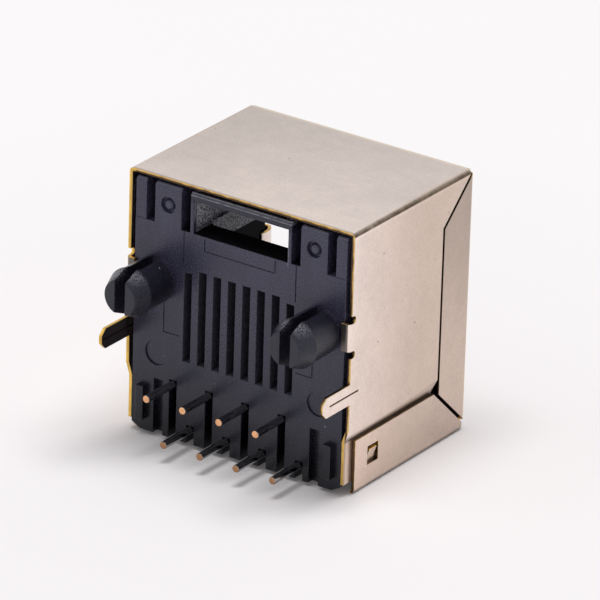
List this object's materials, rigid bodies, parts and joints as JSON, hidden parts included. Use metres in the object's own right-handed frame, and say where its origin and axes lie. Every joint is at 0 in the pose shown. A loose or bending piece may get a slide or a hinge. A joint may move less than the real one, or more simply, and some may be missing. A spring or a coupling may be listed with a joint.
{
  "type": "shielded vertical modular jack",
  "caption": "Shielded vertical modular jack: folded metal shield round a black housing with board pegs, pins and solder tabs, and a network plug port opposite the board.",
  "frame": {"origin": "on the board face of the housing (y = 0), midway between the side panels, at the level of the shield's bottom panel (z = 0)", "axes": "+Y from the board face to the plug port, +Z from the pin rows towards the latch side, +X to the right as seen from the pins"},
  "size_m": [0.0156, 0.0158, 0.0164],
  "materials": {
    "shield_metal": "satin nickel plate",
    "housing_plastic": "fine satin",
    "contact_wire": "gold-plated wire"
  },
  "bodies": {
    "root": {"shield": "shield_metal", "housing": "housing_plastic", "contact_1": "contact_wire", "contact_2": "contact_wire", "contact_3": "contact_wire", "contact_4": "contact_wire", "contact_5": "contact_wire", "contact_6": "contact_wire", "contact_7": "contact_wire", "contact_8": "contact_wire"}
  },
  "joints": []
}
